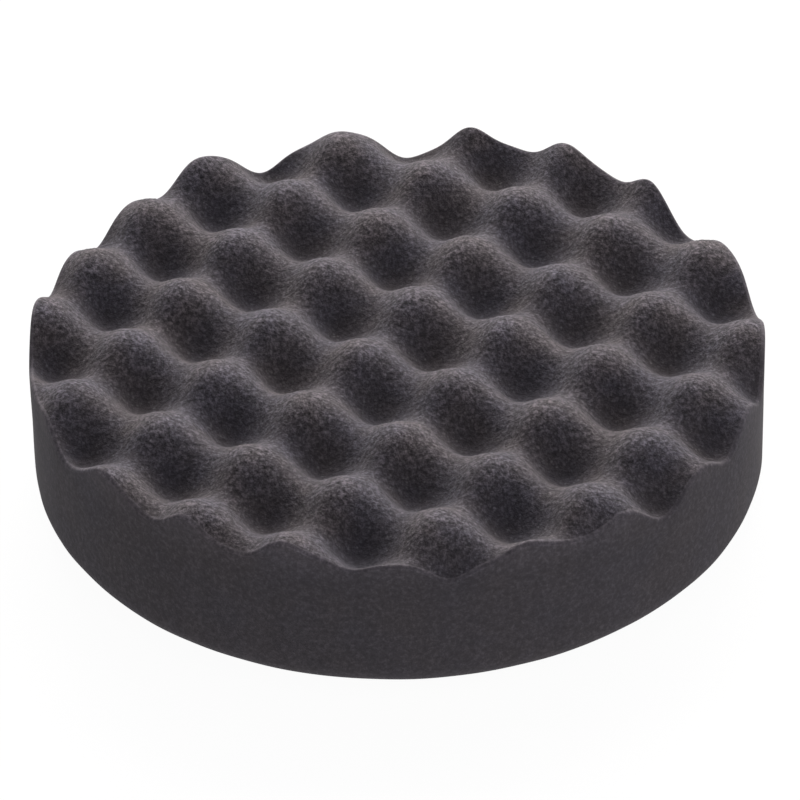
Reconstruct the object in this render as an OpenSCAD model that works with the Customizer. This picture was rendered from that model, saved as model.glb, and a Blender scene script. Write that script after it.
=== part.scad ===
// Waffle-faced foam polishing pad with a loop backing.
// The pad lies on its loops, face up: origin at the centre of the loop face, +Z towards the crests.
// It is a laminate of four round layers that meet face to face.

/* [Foam disc] */
// Diameter of the foam disc
face_d = 150; // [75:1:180]
// Height of the foam from its flat back to the middle level of the waffle
foam_h = 30; // [18:0.1:45]
// Radius of the rounded edge between the wall and the back
edge_round = 5; // [1:0.5:8]

/* [Waffle face] */
// Height from the bottom of a pit to the top of a crest
wave_h = 9.3; // [2:0.1:14]
// Spacing of the crests along a row
crest_pitch = 21.5; // [12:0.1:30]
// Spacing of the crests from one row to the next
row_pitch = 20.9; // [12:0.1:30]
// Direction of the rows, in degrees from +X
row_angle = -30.8; // [-45:0.1:45]
// Direction in which one row follows another, in degrees from +X
column_angle = 57.9; // [50:0.1:130]
// How far the rows bend towards the back at the two sides of the disc
row_bow = 1.9; // [0:0.1:5]
// Place of the crest nearest to the centre, along X
crest_x = -7.1; // [-15:0.1:15]
// Place of the crest nearest to the centre, along Y
crest_y = -6; // [-15:0.1:15]
// How far the saddles between the crests are raised
saddle_rise = 0.4; // [0:0.05:1]
// How much the crests are pinched along their row
crest_pinch = 0.15; // [0:0.05:0.5]
// How far the crests lean over, as foam does that is pulled while it is sliced
crest_lean = 0.28; // [0:0.02:0.5]

/* [Loop backing] */
// Diameter of the film, the fabric and its loops, inside the foam's rounded edge
backing_d = 136; // [50:1:164]
// Thickness of the adhesive film
film_t = 0.3; // [0.2:0.1:1]
// Thickness of the knitted ground of the loop fabric
fabric_t = 0.6; // [0.4:0.1:1.5]
// Height of the loops
pile_h = 1.4; // [0.8:0.1:3]

/* [Hidden] */
face_r = face_d / 2;
// Levels of the layers, from the loops up
fabric_z = pile_h;
film_z = fabric_z + fabric_t;
foam_z = film_z + film_t;
waffle_z = foam_z + foam_h;
// The face is a mesh of rings round the centre, in sectors whose steps grow by one with each ring
rings = 26;
sectors = 6;
rim_steps = sectors * rings;
edge_steps = 4;
backing_facets = 180;

// Height of the waffle: two crossing rows of waves, one along each direction, and what refines them
function along_row(x, y) =
    (x * sin(column_angle) - y * cos(column_angle)) / (crest_pitch * sin(column_angle - row_angle));
function across_rows(x, y) =
    (y * cos(row_angle) - x * sin(row_angle)) / (row_pitch * sin(column_angle - row_angle));
function bow(x) = row_bow / row_pitch * pow(x / face_r, 2);
function face_height(x, y) =
    let (
        u = 360 * along_row(x - crest_x, y - crest_y),
        v = 360 * (across_rows(x - crest_x, y - crest_y) - bow(x)))
    waffle_z + wave_h / 4 * (cos(u) + cos(v))
        - saddle_rise * cos(u) * cos(v)
        + crest_pinch * (cos(2 * u) - cos(2 * v))
        + crest_lean * (sin(u - v) - sin(2 * u + v));

// A point of ring n, and its place in the list of points
function ring_steps(n) = max(1, sectors * n);
function ring_xy(r, turn) = [r * cos(360 * turn), r * sin(360 * turn)];
function face_point(n, step) =
    let (p = ring_xy(face_r * n / rings, step / ring_steps(n)))
    [p.x, p.y, face_height(p.x, p.y)];
function index(n, step) = n == 0 ? 0 : 1 + sectors * n * (n - 1) / 2 + step % ring_steps(n);

// A point of the rounded edge, whose rows go from the upright wall (row 0) to the flat back
function edge_point(row, step) =
    let (
        a = 90 * row / edge_steps,
        p = ring_xy(face_r - edge_round * (1 - cos(a)), step / rim_steps))
    [p.x, p.y, foam_z + edge_round * (1 - sin(a))];

// Convoluted open-cell foam: waffle face, upright cut wall, rounded lower edge, flat back
module foam_disc() {
    face_points = [for (n = [0 : rings], step = [0 : ring_steps(n) - 1]) face_point(n, step)];
    edge_points = [for (row = [0 : edge_steps], step = [0 : rim_steps - 1]) edge_point(row, step)];
    rim_start = index(rings, 0);
    outward = [for (n = [1 : rings], s = [0 : sectors - 1], j = [0 : n - 1])
        [index(n - 1, s * (n - 1) + j), index(n, s * n + j + 1), index(n, s * n + j)]];
    inward = [for (n = [2 : rings], s = [0 : sectors - 1], j = [0 : n - 2])
        [index(n - 1, s * (n - 1) + j), index(n - 1, s * (n - 1) + j + 1), index(n, s * n + j + 1)]];
    // The rim and the rows of the edge follow each other in the list, so one loop joins them all
    wall = [for (row = [0 : edge_steps], step = [0 : rim_steps - 1])
        let (upper = rim_start + row * rim_steps, lower = upper + rim_steps, after = (step + 1) % rim_steps)
        [upper + step, upper + after, lower + after, lower + step]];
    back_start = rim_start + (edge_steps + 1) * rim_steps;
    back = [[for (step = [0 : rim_steps - 1]) back_start + step]];
    color("#423f43")
        polyhedron(
            points = concat(face_points, edge_points),
            faces = concat(outward, inward, wall, back),
            convexity = rings);
}

// One flat round layer of the backing
module layer(bottom, thickness) {
    translate([0, 0, bottom])
        cylinder(h = thickness, d = backing_d, $fn = backing_facets);
}

// Hot-melt film between the foam and the fabric
module adhesive_film() {
    color("#c9c4b4")
        layer(film_z, film_t);
}

// Knitted ground of the loop fabric
module backing_fabric() {
    color("#2b2a2d")
        layer(fabric_z, fabric_t);
}

// Loops that stand out of the ground and catch the hooks of a backing plate
module loop_pile() {
    color("#35343a")
        layer(0, pile_h);
}

foam_disc();
adhesive_film();
backing_fabric();
loop_pile();
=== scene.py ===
"""Looks of a waffle-faced foam polishing pad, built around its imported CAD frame.

Lengths are in metres in the CAD frame: the pad lies on its loops at z = 0, waffle face up.
"""

import math

import bpy
import numpy as np
from mathutils import Matrix, Vector, noise


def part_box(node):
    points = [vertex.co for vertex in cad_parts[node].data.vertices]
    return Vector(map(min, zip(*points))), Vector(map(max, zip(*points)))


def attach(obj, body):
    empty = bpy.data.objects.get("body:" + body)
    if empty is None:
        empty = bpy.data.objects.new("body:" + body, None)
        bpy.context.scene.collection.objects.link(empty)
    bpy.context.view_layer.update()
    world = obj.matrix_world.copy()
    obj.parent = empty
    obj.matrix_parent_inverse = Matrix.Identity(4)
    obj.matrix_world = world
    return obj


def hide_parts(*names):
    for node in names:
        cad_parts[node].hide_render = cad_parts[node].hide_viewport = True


MM = 0.001
TURN = 2 * math.pi

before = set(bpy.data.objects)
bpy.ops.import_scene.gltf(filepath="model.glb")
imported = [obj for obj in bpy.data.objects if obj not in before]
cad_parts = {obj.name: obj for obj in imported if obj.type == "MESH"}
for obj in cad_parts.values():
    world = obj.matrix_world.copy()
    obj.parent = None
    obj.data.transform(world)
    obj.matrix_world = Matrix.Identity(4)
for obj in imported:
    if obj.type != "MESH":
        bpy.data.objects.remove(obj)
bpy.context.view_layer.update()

# ---------------------------------------------------------------- places from the frame
foam_low, foam_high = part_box("foam_disc")
film_low, film_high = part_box("adhesive_film")
fabric_low, fabric_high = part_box("backing_fabric")
pile_low, pile_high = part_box("loop_pile")
FACE_R = (foam_high.x - foam_low.x) / 2
FOAM_Z = foam_low.z
BACKING_R = (pile_high.x - pile_low.x) / 2
PILE_H = pile_high.z - pile_low.z

# The waffle follows the same rule as the CAD foam
FOAM_H = 30.0 * MM
EDGE_ROUND = 5.0 * MM
WAVE_H = 9.3 * MM
CREST_PITCH = 21.5 * MM
ROW_PITCH = 20.9 * MM
ROW_ANGLE = math.radians(-30.8)
COLUMN_ANGLE = math.radians(57.9)
ROW_BOW = 1.9 * MM
CREST_AT = (-7.1 * MM, -6.0 * MM)
SADDLE_RISE = 0.4 * MM
CREST_PINCH = 0.15 * MM
CREST_LEAN = 0.28 * MM


def waffle(x, y):
    """Height of the working face over points x, y: two crossing rows of waves, and refinements."""
    dx = x - CREST_AT[0]
    dy = y - CREST_AT[1]
    slant = math.sin(COLUMN_ANGLE - ROW_ANGLE)
    along = (dx * math.sin(COLUMN_ANGLE) - dy * math.cos(COLUMN_ANGLE)) / (CREST_PITCH * slant)
    across = (dy * math.cos(ROW_ANGLE) - dx * math.sin(ROW_ANGLE)) / (ROW_PITCH * slant)
    u = TURN * along
    v = TURN * (across - ROW_BOW / ROW_PITCH * (x / FACE_R) ** 2)
    height = FOAM_Z + FOAM_H + WAVE_H / 4 * (np.cos(u) + np.cos(v))
    height -= SADDLE_RISE * np.cos(u) * np.cos(v)
    height += CREST_PINCH * (np.cos(2 * u) - np.cos(2 * v))
    return height + CREST_LEAN * (np.sin(u - v) - np.sin(2 * u + v))


# ---------------------------------------------------------------- mesh helpers
def mesh_object(name, points, faces):
    """A smooth-shaded object in the scene, made of points and faces."""
    mesh = bpy.data.meshes.new(name)
    mesh.from_pydata(np.asarray(points).tolist(), [], faces)
    mesh.validate()
    mesh.shade_smooth()
    piece = bpy.data.objects.new(name, mesh)
    bpy.context.scene.collection.objects.link(piece)
    return piece


def circle(radius, steps, z):
    """One ring of points, at one height z or with a height for each point."""
    a = TURN * np.arange(steps) / steps
    return np.stack([radius * np.cos(a), radius * np.sin(a), np.broadcast_to(z, steps)], axis=1)


def band(first, second, steps):
    """Quads between two rings of points, seen from the side where the second ring is below."""
    faces = []
    for k in range(steps):
        after = (k + 1) % steps
        faces.append((first + k, second + k, second + after, first + after))
    return faces


def disc_grid(rings, sectors, radius):
    """Points x, y of a disc in rings round its centre, its triangles, and where the rim starts."""
    points = [(0.0, 0.0)]
    starts = [0]
    for n in range(1, rings + 1):
        starts.append(len(points))
        steps = sectors * n
        for k in range(steps):
            a = TURN * k / steps
            points.append((radius * n / rings * math.cos(a), radius * n / rings * math.sin(a)))

    def at(n, k):
        return 0 if n == 0 else starts[n] + k % (sectors * n)

    faces = []
    for n in range(1, rings + 1):
        for s in range(sectors):
            for j in range(n):
                inner = s * (n - 1) + j
                outer = s * n + j
                faces.append((at(n - 1, inner), at(n, outer), at(n, outer + 1)))
                if j:
                    faces.append((at(n - 1, inner - 1), at(n, outer), at(n - 1, inner)))
    return np.array(points), faces, starts[rings]


# ---------------------------------------------------------------- foam disc
# The mesh: rings of the face in sectors, then rows round the rim, down the wall and round the edge
RINGS = 160
SECTORS = 6
RIM_STEPS = RINGS * SECTORS
RIM_ROUND = 0.8 * MM
RIM_ROWS = 4
WALL_ROWS = 8
EDGE_ROWS = 6
BACK_INSET = 1 * MM

# The material slots of the foam
FACE_SKIN, RIM_SKIN, WALL_SKIN = 0, 1, 2

# The relief: torn cells on the face, which fade out at the rim, and slow lumps on all but the back
GRAIN = 0.045 * MM
GRAIN_MOST = 2 * GRAIN
GRAIN_FADE = 2 * MM
GRAIN_SEED = 7
LUMP = 0.20 * MM
LUMP_SIZE = 11 * MM
FLAT_BACK = 0.1 * MM


def foam_relief(points, normals, face_points):
    """The points moved along their normals, where the first face_points of them are the face."""
    random = np.random.default_rng(GRAIN_SEED)
    grain = np.zeros(len(points))
    grain[:face_points] = random.normal(0, GRAIN, face_points).clip(-GRAIN_MOST, GRAIN_MOST)
    from_rim = FACE_R - np.hypot(points[:, 0], points[:, 1])
    grain *= np.clip(from_rim / GRAIN_FADE, 0, 1)
    lumps = np.array([noise.noise(Vector(p) / LUMP_SIZE) for p in points])
    return points + normals * (grain + LUMP * lumps)[:, None]


def side_rings(flat_r, rim_z):
    """Rings of points over the rounded rim, down the wall, round the edge and on to the back."""
    rings = []
    for row in range(1, RIM_ROWS + 1):
        a = math.pi / 2 * row / RIM_ROWS
        rim_r = flat_r + RIM_ROUND * math.sin(a)
        rings.append(circle(rim_r, RIM_STEPS, rim_z - RIM_ROUND * (1 - math.cos(a))))
    wall_top = rim_z - RIM_ROUND
    wall_end = FOAM_Z + EDGE_ROUND
    for row in range(1, WALL_ROWS + 1):
        rings.append(circle(FACE_R, RIM_STEPS, wall_top + (wall_end - wall_top) * row / WALL_ROWS))
    for row in range(1, EDGE_ROWS + 1):
        a = math.pi / 2 * row / EDGE_ROWS
        edge_r = FACE_R - EDGE_ROUND * (1 - math.cos(a))
        rings.append(circle(edge_r, RIM_STEPS, FOAM_Z + EDGE_ROUND * (1 - math.sin(a))))
    rings.append(circle(FACE_R - EDGE_ROUND - BACK_INSET, RIM_STEPS, FOAM_Z))
    return rings


def make_foam():
    """The foam: a waffle face, a rounded rim, an upright wall, a rounded edge and a flat back."""
    flat_r = FACE_R - RIM_ROUND
    xy, faces, rim = disc_grid(RINGS, SECTORS, flat_r)
    face = np.column_stack([xy, waffle(xy[:, 0], xy[:, 1])])
    face_count = len(faces)
    rings = side_rings(flat_r, face[rim:, 2])
    # The rim and the rings follow each other in the list of points
    for number in range(len(rings)):
        first = rim + number * RIM_STEPS
        faces += band(first, first + RIM_STEPS, RIM_STEPS)
    last = rim + len(rings) * RIM_STEPS
    faces.append(tuple(reversed(range(last, last + RIM_STEPS))))
    foam = mesh_object("foam_body", np.concatenate([face, *rings]), faces)
    skins = np.full(len(foam.data.polygons), WALL_SKIN)
    skins[:face_count] = FACE_SKIN
    skins[face_count : face_count + RIM_ROWS * RIM_STEPS] = RIM_SKIN
    foam.data.polygons.foreach_set("material_index", skins)

    count = len(foam.data.vertices)
    points = np.empty(count * 3)
    normals = np.empty(count * 3)
    foam.data.vertices.foreach_get("co", points)
    foam.data.vertices.foreach_get("normal", normals)
    points, normals = points.reshape(-1, 3), normals.reshape(-1, 3)
    rough = points[:, 2] > FOAM_Z + FLAT_BACK
    points[rough] = foam_relief(points[rough], normals[rough], len(face))
    foam.data.vertices.foreach_set("co", points.ravel())
    foam.data.update()
    return foam


# ---------------------------------------------------------------- film and ground
FILM_STEPS = 240
FILM_WAVE = 0.35 * MM
FILM_BEVEL = 0.998


def make_film():
    """The hot-melt film, whose edge wanders a little round the fabric."""
    a = TURN * np.arange(FILM_STEPS) / FILM_STEPS
    wander = FILM_WAVE * (np.sin(5 * a) + np.sin(11 * a + 1) + np.sin(23 * a + 2)) / 3
    radius = BACKING_R - FILM_WAVE / 2 + wander
    edge = np.stack([radius * np.cos(a), radius * np.sin(a)], axis=1)
    middle = (film_low.z + film_high.z) / 2
    top = np.column_stack([edge * FILM_BEVEL, np.full(FILM_STEPS, film_high.z)])
    belly = np.column_stack([edge, np.full(FILM_STEPS, middle)])
    bottom = np.column_stack([edge * FILM_BEVEL, np.full(FILM_STEPS, film_low.z)])
    faces = band(0, FILM_STEPS, FILM_STEPS) + band(FILM_STEPS, 2 * FILM_STEPS, FILM_STEPS)
    faces.append(tuple(range(FILM_STEPS)))
    faces.append(tuple(reversed(range(2 * FILM_STEPS, 3 * FILM_STEPS))))
    return mesh_object("glue_film", np.concatenate([top, belly, bottom]), faces)


RIB_PITCH = 1.2 * MM
RIB_H = 0.12 * MM
RIB_SHARE = 0.7
GROUND_RINGS = 110


def make_ground():
    """The knitted ground: a disc of cloth whose underside has the ribs of a warp knit."""
    xy, faces, rim = disc_grid(GROUND_RINGS, SECTORS, BACKING_R)
    rib = np.abs(np.cos(math.pi * xy[:, 0] / RIB_PITCH))
    stitch = np.abs(np.sin(math.pi * xy[:, 1] / RIB_PITCH + math.pi * xy[:, 0] / RIB_PITCH))
    sunk = 1 - RIB_SHARE * rib - (1 - RIB_SHARE) * stitch
    under = np.column_stack([xy, fabric_low.z + RIB_H * sunk])
    steps = GROUND_RINGS * SECTORS
    top = circle(BACKING_R, steps, fabric_high.z)
    count = len(under)
    faces = [tuple(reversed(f)) for f in faces]
    faces += band(count, rim, steps)
    faces.append(tuple(range(count, count + steps)))
    return mesh_object("ground_knit", np.concatenate([under, top]), faces)


# ---------------------------------------------------------------- loop pile
LOOP_PITCH = 1.25 * MM
LOOP_INSET = 0.9 * MM
LOOP_YARN_R = 0.13 * MM
LOOP_FULLNESS = 0.8
LOOP_STEPS = 6
LOOP_SIDES = 3
LOOP_PIECES = 3

# How much the loops differ: places, turns in radians, heights, half widths and leans
LOOP_SEED = 12
LOOP_SHIFT = 0.28 * MM
LOOP_TURN = 0.6
LOOP_HEIGHTS = (0.78, 1.0)
LOOP_HALF_WIDTHS = (0.34 * MM, 0.52 * MM)
LOOP_LEAN = 0.28 * MM


def loop_roots(random):
    """Points x, y where the loops grow: staggered rows, with each loop a little out of line."""
    reach = BACKING_R - LOOP_INSET
    side = np.arange(-reach, reach, LOOP_PITCH)
    gx, gy = np.meshgrid(side, side)
    gy = gy + (np.arange(len(side)) % 2 * LOOP_PITCH / 2)[None, :]
    roots = np.stack([gx.ravel(), gy.ravel()], axis=1)
    roots += random.uniform(-LOOP_SHIFT, LOOP_SHIFT, roots.shape)
    return roots[np.hypot(roots[:, 0], roots[:, 1]) < reach]


def loop_lines(random, roots):
    """The middle line of each loop's yarn, and the level direction across each loop."""
    count = len(roots)
    turn = random.normal(0, LOOP_TURN, count)
    height = random.uniform(*LOOP_HEIGHTS, count) * (PILE_H - LOOP_YARN_R)
    half_width = random.uniform(*LOOP_HALF_WIDTHS, count)
    lean = random.normal(0, LOOP_LEAN, (count, 2))

    t = np.linspace(0, 1, LOOP_STEPS + 1)
    swing = np.cos(math.pi * t)
    drop = np.sin(math.pi * t) ** LOOP_FULLNESS
    plane = np.stack([np.cos(turn), np.sin(turn)], axis=1)
    across = np.stack([-np.sin(turn), np.cos(turn)], axis=1)
    lines = np.zeros((count, len(t), 3))
    lines[:, :, :2] = roots[:, None] + plane[:, None] * (half_width[:, None] * swing)[:, :, None]
    lines[:, :, :2] += lean[:, None] * drop[None, :, None]
    lines[:, :, 2] = fabric_low.z + LOOP_YARN_R - (height + LOOP_YARN_R)[:, None] * drop
    lines[:, :, 2] = np.maximum(lines[:, :, 2], pile_low.z + LOOP_YARN_R)
    return lines, across


def yarn_points(lines, across):
    """Points of a tube round each line, kept above the bottom of the pile."""
    tangent = np.gradient(lines, axis=1)
    tangent /= np.linalg.norm(tangent, axis=2, keepdims=True)
    side_way = np.zeros_like(lines)
    side_way[:, :, :2] = across[:, None]
    other_way = np.cross(tangent, side_way)
    other_way /= np.linalg.norm(other_way, axis=2, keepdims=True)
    tube = []
    for k in range(LOOP_SIDES):
        a = TURN * k / LOOP_SIDES
        tube.append(lines + LOOP_YARN_R * (math.cos(a) * side_way + math.sin(a) * other_way))
    points = np.stack(tube, axis=2).reshape(len(lines), -1, 3)
    points[:, :, 2] = np.maximum(points[:, :, 2], pile_low.z)
    return points


def yarn_faces():
    """Faces of one tube of yarn, closed at both ends."""
    faces = []
    for step in range(LOOP_STEPS):
        row, below = step * LOOP_SIDES, (step + 1) * LOOP_SIDES
        for k in range(LOOP_SIDES):
            after = (k + 1) % LOOP_SIDES
            faces.append((row + k, row + after, below + after, below + k))
    end = LOOP_STEPS * LOOP_SIDES
    faces.append(tuple(reversed(range(LOOP_SIDES))))
    faces.append(tuple(range(end, end + LOOP_SIDES)))
    return faces


def make_loops():
    """Loops of yarn hanging from the ground in rows, each leaning its own way."""
    random = np.random.default_rng(LOOP_SEED)
    roots = loop_roots(random)
    points = yarn_points(*loop_lines(random, roots))
    one = yarn_faces()
    per_loop = points.shape[1]
    sector = (np.arctan2(roots[:, 1], roots[:, 0]) / TURN + 0.5) * LOOP_PIECES
    pieces = []
    for number in range(LOOP_PIECES):
        chosen = points[np.floor(sector).clip(0, LOOP_PIECES - 1) == number]
        faces = [tuple(i * per_loop + v for v in f) for i in range(len(chosen)) for f in one]
        pieces.append(mesh_object(f"loops_{number + 1}", chosen.reshape(-1, 3), faces))
    return pieces


# ---------------------------------------------------------------- shader helpers
def material(name):
    """A new material, its nodes, its links and its shader."""
    m = bpy.data.materials.new(name)
    m.use_nodes = True
    nodes = m.node_tree.nodes
    return m, nodes, m.node_tree.links, nodes["Principled BSDF"]


def coordinates(nodes):
    """The place on the object, in metres."""
    return nodes.new("ShaderNodeTexCoord").outputs["Object"]


def noise_at(nodes, links, where, size, detail=2.0, roughness=0.5):
    """Cloudy noise whose lumps are about this size."""
    n = nodes.new("ShaderNodeTexNoise")
    n.inputs["Scale"].default_value = 1 / size
    n.inputs["Detail"].default_value = detail
    n.inputs["Roughness"].default_value = roughness
    links.new(where, n.inputs["Vector"])
    return n.outputs["Fac"]


def points_at(nodes, links, where, size):
    """Scattered points: the distance to the nearest one, and a random value that it holds."""
    v = nodes.new("ShaderNodeTexVoronoi")
    v.inputs["Scale"].default_value = 1 / size
    links.new(where, v.inputs["Vector"])
    parts = nodes.new("ShaderNodeSeparateColor")
    links.new(v.outputs["Color"], parts.inputs["Color"])
    return v.outputs["Distance"], parts.outputs["Red"]


def stretched(nodes, links, where, factors):
    """The same coordinates scaled along each axis, so that a pattern stretches."""
    scaled = nodes.new("ShaderNodeVectorMath")
    scaled.operation = "MULTIPLY"
    links.new(where, scaled.inputs[0])
    scaled.inputs[1].default_value = factors
    return scaled.outputs["Vector"]


def ramp(nodes, links, value, stops):
    """A colour for each value, by stops of a place and a colour."""
    r = nodes.new("ShaderNodeValToRGB")
    while len(r.color_ramp.elements) < len(stops):
        r.color_ramp.elements.new(0.5)
    for element, (place, colour) in zip(r.color_ramp.elements, stops):
        element.position = place
        element.color = (*colour, 1)
    links.new(value, r.inputs["Fac"])
    return r.outputs["Color"]


def mix(nodes, links, kind, amount, a, b):
    """Two colours blended by an amount, which is a number or a socket."""
    m = nodes.new("ShaderNodeMix")
    m.data_type = "RGBA"
    m.blend_type = kind
    if isinstance(amount, (int, float)):
        m.inputs["Factor"].default_value = amount
    else:
        links.new(amount, m.inputs["Factor"])
    links.new(a, m.inputs["A"])
    links.new(b, m.inputs["B"])
    return m.outputs["Result"]


def bump(nodes, links, height, strength, distance, below=None):
    """A bumped normal, on top of another one if below is given."""
    b = nodes.new("ShaderNodeBump")
    b.inputs["Strength"].default_value = strength
    b.inputs["Distance"].default_value = distance
    links.new(height, b.inputs["Height"])
    if below is not None:
        links.new(below, b.inputs["Normal"])
    return b.outputs["Normal"]


# ---------------------------------------------------------------- materials
WHITE = Vector((1, 1, 1))
BLACK = Vector((0, 0, 0))
FOAM_COLOUR = Vector((0.0465, 0.0420, 0.0475))
WARM = Vector((1.05, 1.0, 0.97))
COOL = Vector((0.94, 0.95, 1.04))
# How far the colour is painted darker in the pits, as shade, and lighter on the crests, as light
PAINTED_DEPTH_SHADE = 0.22
GRAIN_CELL = 1.0 * MM
SPECK_CELL = 0.85 * MM
PATCH_SIZE = 12 * MM
STREAK_WIDTH = 3.5 * MM
STREAK_SQUEEZE = (1, 1, 0.12)


def grain_colour(nodes, links, grain, base, contrast):
    """Dark pores, the usual cell skin, and pale struts, by the grain's value."""
    pore = base * (1 - contrast)
    skin = base * (1 - contrast / 6)
    strut = base * (1 + 1.6 * contrast)
    return ramp(nodes, links, grain, [(0.3, pore), (0.5, skin), (0.7, strut)])


def crest_share(nodes, links, where):
    """0 at the bottom of the pits and 1 on the crests."""
    place = nodes.new("ShaderNodeSeparateXYZ")
    links.new(where, place.inputs["Vector"])
    share = nodes.new("ShaderNodeMapRange")
    middle = FOAM_Z + FOAM_H
    share.inputs["From Min"].default_value = middle - WAVE_H / 2
    share.inputs["From Max"].default_value = middle + WAVE_H / 2
    links.new(place.outputs["Z"], share.inputs["Value"])
    return share.outputs["Result"]


def foam_material(name, contrasts, specks, relief, patchiness, paleness=1.0, streaks=0.0):
    """Open-cell foam, whose grain has more contrast on the crests than in the pits: painted light
    on its struts and painted shade in its pores, where the lamps fall.

    contrasts are the grain's in the pits and on the crests, specks is how pale the specks on its
    broken struts are, painted glints of light, relief is how deep its cells are, patchiness is how
    far its colour wanders, and streaks is how strong the upright marks of the cutter are.
    """
    m, nodes, links, shader = material(name)
    where = coordinates(nodes)
    base = FOAM_COLOUR * paleness
    grain = noise_at(nodes, links, where, GRAIN_CELL, 3, 0.8)
    # The grain's contrast grows from the pits to the crests: painted light and shade laid over the
    # foam's real grain
    pit, crest = (grain_colour(nodes, links, grain, base, c) for c in contrasts)
    height = crest_share(nodes, links, where)
    colour = mix(nodes, links, "MIX", height, pit, crest)
    # Painted shade and light: the colour darkens towards the bottom of the pits and lightens on
    # the crests
    depth_shade_ramp = [(0.0, WHITE * (1 - PAINTED_DEPTH_SHADE)), (1.0, WHITE * (1 + PAINTED_DEPTH_SHADE))]
    colour = mix(nodes, links, "MULTIPLY", 1.0, colour, ramp(nodes, links, height, depth_shade_ramp))

    # Pale specks on some of the cells: painted glints of light on broken struts
    near, chosen = points_at(nodes, links, where, SPECK_CELL)
    spot = ramp(nodes, links, near, [(0.1, WHITE * specks), (0.45, BLACK)])
    share = ramp(nodes, links, chosen, [(0.40, BLACK), (0.90, WHITE)])
    spots = mix(nodes, links, "MULTIPLY", 1.0, spot, share)
    colour = mix(nodes, links, "ADD", 1.0, colour, spots)

    patch = noise_at(nodes, links, where, PATCH_SIZE, 3)
    cool = WHITE.lerp(COOL, patchiness)
    warm = WHITE.lerp(WARM, patchiness)
    tint = ramp(nodes, links, patch, [(0.35, cool), (0.65, warm)])
    colour = mix(nodes, links, "MULTIPLY", 1.0, colour, tint)
    if streaks:
        upright = stretched(nodes, links, where, STREAK_SQUEEZE)
        line = noise_at(nodes, links, upright, STREAK_WIDTH, 2)
        shades = [(0.3, WHITE * (1 - streaks)), (0.7, WHITE * (1 + streaks))]
        colour = mix(nodes, links, "MULTIPLY", 1.0, colour, ramp(nodes, links, line, shades))

    links.new(colour, shader.inputs["Base Color"])
    shader.inputs["Roughness"].default_value = 0.95
    shader.inputs["Specular IOR Level"].default_value = 0.2
    shader.inputs["Sheen Weight"].default_value = 0.03
    shader.inputs["Sheen Roughness"].default_value = 0.6
    shader.inputs["Sheen Tint"].default_value = (0.85, 0.8, 0.82, 1)
    cells = bump(nodes, links, grain, 1.0, relief)
    links.new(bump(nodes, links, near, 0.5, -relief / 2, cells), shader.inputs["Normal"])
    return m


FILM_CLOUD = 4 * MM


def film_material():
    """Hot-melt film: yellowish, cloudy and a little glossy."""
    m, nodes, links, shader = material("hot_melt_film")
    where = coordinates(nodes)
    cloud = noise_at(nodes, links, where, FILM_CLOUD, 3)
    colour = ramp(nodes, links, cloud, [(0.3, (0.36, 0.34, 0.28)), (0.7, (0.50, 0.47, 0.40))])
    links.new(colour, shader.inputs["Base Color"])
    shader.inputs["Roughness"].default_value = 0.38
    links.new(bump(nodes, links, cloud, 0.3, 0.1 * MM), shader.inputs["Normal"])
    return m


FILAMENT_SIZE = 0.25 * MM
YARN_PATCH = 6 * MM


def yarn_material(name, dark, light, sheen):
    """Black polyamide yarn: fine filaments with a soft sheen."""
    m, nodes, links, shader = material(name)
    where = coordinates(nodes)
    filaments = noise_at(nodes, links, where, FILAMENT_SIZE, 3, 0.7)
    patches = noise_at(nodes, links, where, YARN_PATCH, 2)
    yarn = ramp(nodes, links, filaments, [(0.3, dark), (0.7, light)])
    wear = ramp(nodes, links, patches, [(0.35, (0.85, 0.85, 0.88)), (0.65, (1.1, 1.1, 1.1))])
    links.new(mix(nodes, links, "MULTIPLY", 1.0, yarn, wear), shader.inputs["Base Color"])
    shader.inputs["Roughness"].default_value = 0.62
    shader.inputs["Sheen Weight"].default_value = sheen
    shader.inputs["Sheen Roughness"].default_value = 0.4
    links.new(bump(nodes, links, filaments, 0.4, 0.05 * MM), shader.inputs["Normal"])
    return m


# ---------------------------------------------------------------- build the pad
foam = make_foam()
sliced_face = foam_material(
    "foam_sliced_face",
    contrasts=(0.32, 1.0),
    specks=0.034,
    relief=0.26 * MM,
    patchiness=1.0,
)
# The rim is a paler copy of the foam: a band of painted light along the rounded rim
painted_light_rim = foam_material(
    "foam_rim_painted_light",
    contrasts=(0.30, 0.50),
    specks=0.034,
    relief=0.10 * MM,
    patchiness=0.5,
    paleness=1.45,
)
# The wall is a paler copy of the foam too: painted light that sets how bright the wall looks
cut_wall = foam_material(
    "foam_cut_wall",
    contrasts=(0.30, 0.30),
    specks=0.004,
    relief=0.06 * MM,
    patchiness=0.4,
    paleness=1.22,
    streaks=0.05,
)
# In the order of FACE_SKIN, RIM_SKIN and WALL_SKIN
for skin in (sliced_face, painted_light_rim, cut_wall):
    foam.data.materials.append(skin)
film = make_film()
film.data.materials.append(film_material())
ground = make_ground()
ground_yarn = yarn_material("knit_yarn", (0.012, 0.012, 0.014), (0.030, 0.029, 0.033), sheen=0.1)
ground.data.materials.append(ground_yarn)
loops = make_loops()
loop_yarn = yarn_material("loop_yarn", (0.022, 0.021, 0.024), (0.060, 0.058, 0.064), sheen=0.3)
for piece in loops:
    piece.data.materials.append(loop_yarn)

for piece, slot_name in ((foam, "foam"), (film, "film"), (ground, "ground_knit")):
    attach(piece, "root")
for piece in loops:
    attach(piece, "root")
    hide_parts("loop_pile")
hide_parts("foam_disc")
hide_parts("adhesive_film")
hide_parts("backing_fabric")

# ---------------------------------------------------------------- floor
FLOOR_HALF = 3.0
FLOOR_GREY = 0.04
FLOOR_GLOW = 0.96


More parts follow.
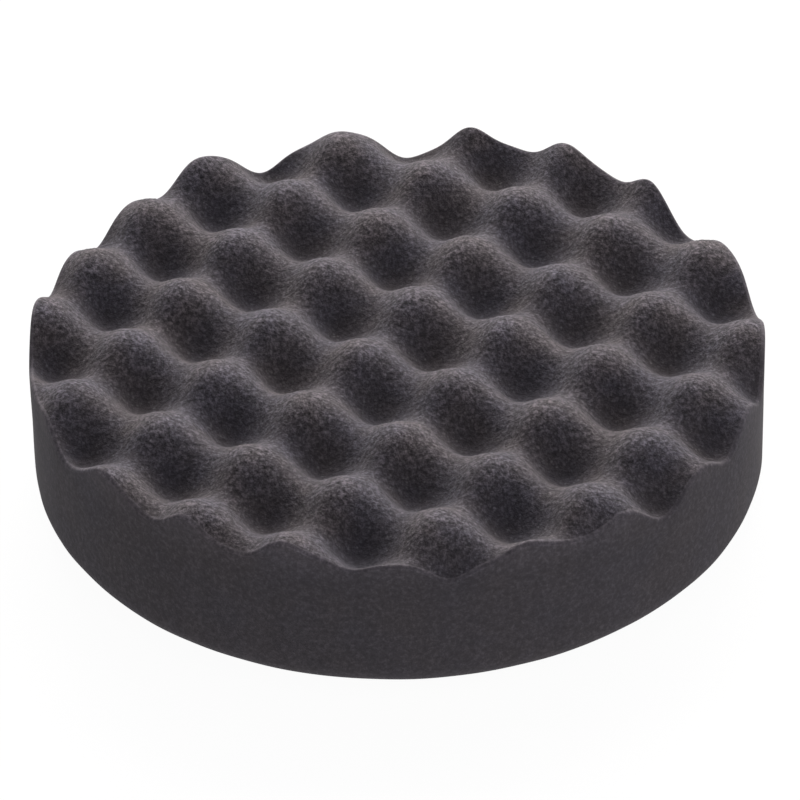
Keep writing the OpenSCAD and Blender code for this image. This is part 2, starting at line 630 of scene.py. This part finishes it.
def make_floor():
    """A pale, softly glowing floor that lets views from below see the pad's underside."""
    corners = [(-1, -1), (1, -1), (1, 1), (-1, 1)]
    points = [(x * FLOOR_HALF, y * FLOOR_HALF, 0) for x, y in corners]
    floor = mesh_object("floor", points, [(0, 1, 2, 3)])
    m, nodes, links, shader = material("pale_floor")
    shader.inputs["Base Color"].default_value = (FLOOR_GREY, FLOOR_GREY, FLOOR_GREY, 1)
    shader.inputs["Roughness"].default_value = 0.9
    shader.inputs["Specular IOR Level"].default_value = 0
    shader.inputs["Emission Color"].default_value = (1, 1, 1, 1)
    shader.inputs["Emission Strength"].default_value = FLOOR_GLOW
    clear = nodes.new("ShaderNodeBsdfTransparent")
    side = nodes.new("ShaderNodeMixShader")
    links.new(nodes.new("ShaderNodeNewGeometry").outputs["Backfacing"], side.inputs["Fac"])
    links.new(shader.outputs["BSDF"], side.inputs[1])
    links.new(clear.outputs["BSDF"], side.inputs[2])
    links.new(side.outputs["Shader"], nodes["Material Output"].inputs["Surface"])
    floor.data.materials.append(m)


# ---------------------------------------------------------------- light
LIGHT_DISTANCE = 1.2
LIGHT_SIZE = 0.9
DOME_COLOUR = (0.97, 0.95, 1, 1)
DOME_LEFT = 0.17
DOME_RIGHT = 0.50


def area_light(name, azimuth, elevation, power, colour=(1, 1, 1)):
    """A square soft light aimed at the pad. Azimuth 0 is the viewer's side, 90 the right."""
    a, e = math.radians(azimuth), math.radians(elevation)
    way = Vector((math.sin(a) * math.cos(e), -math.cos(a) * math.cos(e), math.sin(e)))
    light = bpy.data.objects.new(name, bpy.data.lights.new(name, "AREA"))
    light.data.size = LIGHT_SIZE
    light.data.energy = power
    light.data.color = colour
    light.location = Vector((0, 0, FOAM_H)) + way * LIGHT_DISTANCE
    light.rotation_mode = "QUATERNION"
    light.rotation_quaternion = (-way).to_track_quat("-Z", "Y")
    bpy.context.scene.collection.objects.link(light)


def make_world():
    """A plain studio dome that grows lighter from the left to the right."""
    world = bpy.data.worlds.new("studio")
    world.use_nodes = True
    nodes, links = world.node_tree.nodes, world.node_tree.links
    ways = nodes.new("ShaderNodeSeparateXYZ")
    links.new(nodes.new("ShaderNodeTexCoord").outputs["Generated"], ways.inputs["Vector"])
    level = nodes.new("ShaderNodeMapRange")
    level.inputs["From Min"].default_value = -1
    level.inputs["To Min"].default_value = DOME_LEFT
    level.inputs["To Max"].default_value = DOME_RIGHT
    links.new(ways.outputs["X"], level.inputs["Value"])
    background = nodes["Background"]
    background.inputs["Color"].default_value = DOME_COLOUR
    links.new(level.outputs["Result"], background.inputs["Strength"])
    bpy.context.scene.world = world


# ---------------------------------------------------------------- camera
CAMERA_ELEVATION = 36.45
CAMERA_ROLL = 1.18
CAMERA_DISTANCE = 1.30
CAMERA_LENS = 285.0
CAMERA_SENSOR = 36
CAMERA_AIM = Vector((0.0005, 0, 0.0179))


def make_camera():
    """The camera, in front of the pad and above it, and rolled a little."""
    e = math.radians(CAMERA_ELEVATION)
    back = Vector((0, -math.cos(e), math.sin(e)))
    camera = bpy.data.objects.new("camera", bpy.data.cameras.new("camera"))
    camera.data.lens = CAMERA_LENS
    camera.data.sensor_width = CAMERA_SENSOR
    camera.location = CAMERA_AIM + back * CAMERA_DISTANCE
    camera.rotation_mode = "QUATERNION"
    level = (-back).to_track_quat("-Z", "Y")
    roll = Matrix.Rotation(math.radians(-CAMERA_ROLL), 3, "Z").to_quaternion()
    camera.rotation_quaternion = level @ roll
    bpy.context.scene.collection.objects.link(camera)
    bpy.context.scene.camera = camera


make_floor()
make_world()
area_light("back_light", 180, 29, 26, (1, 0.97, 0.94))
area_light("right_back_light", 155, 35, 11, (1, 0.96, 0.92))
area_light("left_back_light", 205, 45, 5)
area_light("right_light", 60, 40, 3.5)
make_camera()
bpy.context.scene.view_settings.view_transform = "Standard"
